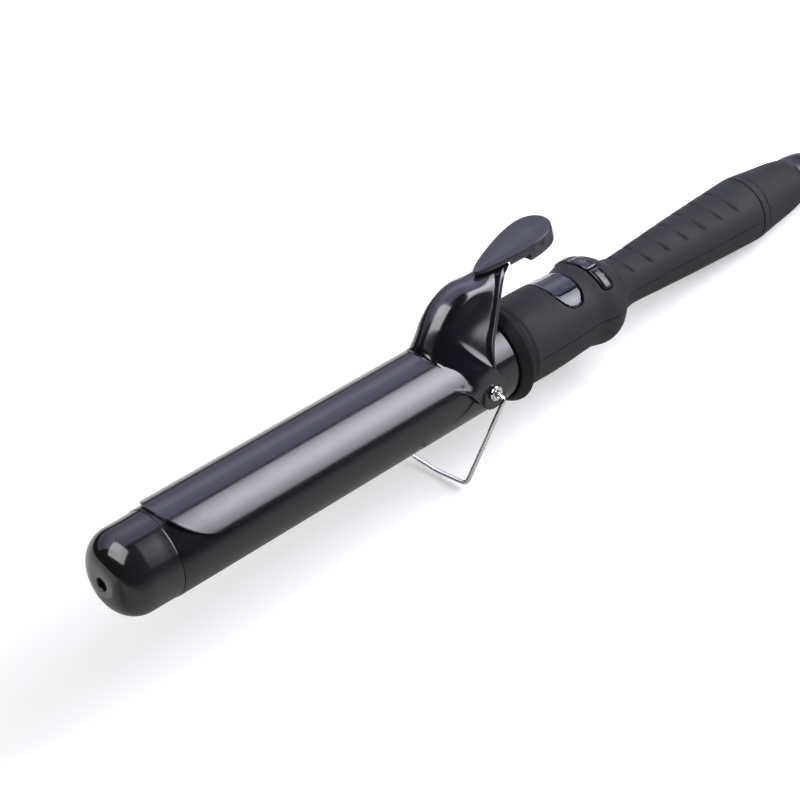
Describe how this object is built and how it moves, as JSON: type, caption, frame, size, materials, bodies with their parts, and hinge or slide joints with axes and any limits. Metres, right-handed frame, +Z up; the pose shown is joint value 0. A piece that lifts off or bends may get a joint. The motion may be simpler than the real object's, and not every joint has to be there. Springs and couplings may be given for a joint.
{
  "type": "curling iron",
  "caption": "Clip curling iron: round heated barrel with sprung clip and thumb pad, fold-out wire stand, grip handle with display and keys, swivel cord outlet.",
  "frame": {"origin": "bottom centre of the bounding box, on the surface the iron stands on", "axes": "+Z up, +X along the tool from the barrel's tip towards the cord outlet, +Y across"},
  "size_m": [0.3642, 0.047, 0.0725],
  "materials": {
    "barrel_black": "gloss",
    "clip_black": "gloss",
    "gloss_black_plastic": "gloss",
    "soft_touch_black": "matte",
    "satin_black_plastic": "satin",
    "bright_nickel": "polished",
    "bare_aluminium": "satin",
    "heater_ceramic": "matte",
    "white_plastic": "satin",
    "board_green": "satin",
    "lcd_glass": "gloss",
    "switch_black": "matte",
    "contact_brass": "satin",
    "heater_lead": "matte",
    "mains_core": "satin"
  },
  "bodies": {
    "housing": {"barrel_tube": "barrel_black", "tip_cap": "gloss_black_plastic", "tip_screw": "bright_nickel", "tip_anchor": "bare_aluminium", "heat_spreader_upper": "bare_aluminium", "heat_spreader_lower": "bare_aluminium", "heater_core": "heater_ceramic", "temperature_sensor": "heater_ceramic", "insulation_sleeve": "heater_ceramic", "pivot_saddle": "bare_aluminium", "pivot_rivet_left": "bright_nickel", "pivot_rivet_right": "bright_nickel", "collar_ring": "soft_touch_black", "clip_spring": "bright_nickel", "handle_shell_upper": "soft_touch_black", "handle_shell_lower": "soft_touch_black", "grip_end_ring": "soft_touch_black", "tail_cone": "soft_touch_black", "display_lens": "gloss_black_plastic", "lcd_module": "lcd_glass", "lcd_holder": "white_plastic", "control_board": "board_green", "switch_carrier": "white_plastic", "slip_contact_plate": "contact_brass", "shell_screw_front": "bright_nickel", "shell_screw_middle": "bright_nickel", "shell_screw_rear": "bright_nickel", "heater_wire_live": "heater_lead", "heater_wire_neutral": "heater_lead", "mains_wire_live": "mains_core", "mains_wire_neutral": "mains_core", "temp_down_switch": "switch_black", "power_switch": "switch_black", "temp_up_switch": "switch_black"},
    "clamp": {"clip": "clip_black", "thumb_pad": "satin_black_plastic", "pad_rivet_front": "bright_nickel", "pad_rivet_rear": "bright_nickel"},
    "stand": {"wire_stand": "bright_nickel"},
    "temp_down_key": {"temp_down_button": "gloss_black_plastic"},
    "power_key": {"power_button": "gloss_black_plastic"},
    "temp_up_key": {"temp_up_button": "gloss_black_plastic"},
    "cord_outlet": {"swivel_cap": "satin_black_plastic", "swivel_clip": "bright_nickel"}
  },
  "joints": [
    {"name": "clip_hinge", "type": "hinge", "parent": "housing", "child": "clamp", "pos_m": [-0.0218, 0, 0.03437], "axis": [0, 1, 0], "range_deg": [0, 16], "stiffness_Nm_per_rad": 0.6, "springref_deg": -22.92, "deforming": ["clip_spring"]},
    {"name": "stand_hinge", "type": "hinge", "parent": "housing", "child": "stand", "pos_m": [-0.0218, 0, 0.03437], "axis": [0, 1, 0], "range_deg": [-78, 39]},
    {"name": "temp_down_press", "type": "slide", "parent": "housing", "child": "temp_down_key", "axis": [-0.1063, 0.5646, -0.8185], "range_m": [0, 0.0005], "stiffness_N_per_m": 1500, "springref_m": -0.0004},
    {"name": "power_press", "type": "slide", "parent": "housing", "child": "power_key", "axis": [-0.1288, 0, -0.9917], "range_m": [0, 0.0005], "stiffness_N_per_m": 1500, "springref_m": -0.0004},
    {"name": "temp_up_press", "type": "slide", "parent": "housing", "child": "temp_up_key", "axis": [-0.1063, -0.5646, -0.8185], "range_m": [0, 0.0005], "stiffness_N_per_m": 1500, "springref_m": -0.0004},
    {"name": "cord_swivel", "type": "hinge", "parent": "housing", "child": "cord_outlet", "pos_m": [0.16562, 0, 0.01004], "axis": [0.9917, 0, -0.1288], "continuous": true}
  ]
}
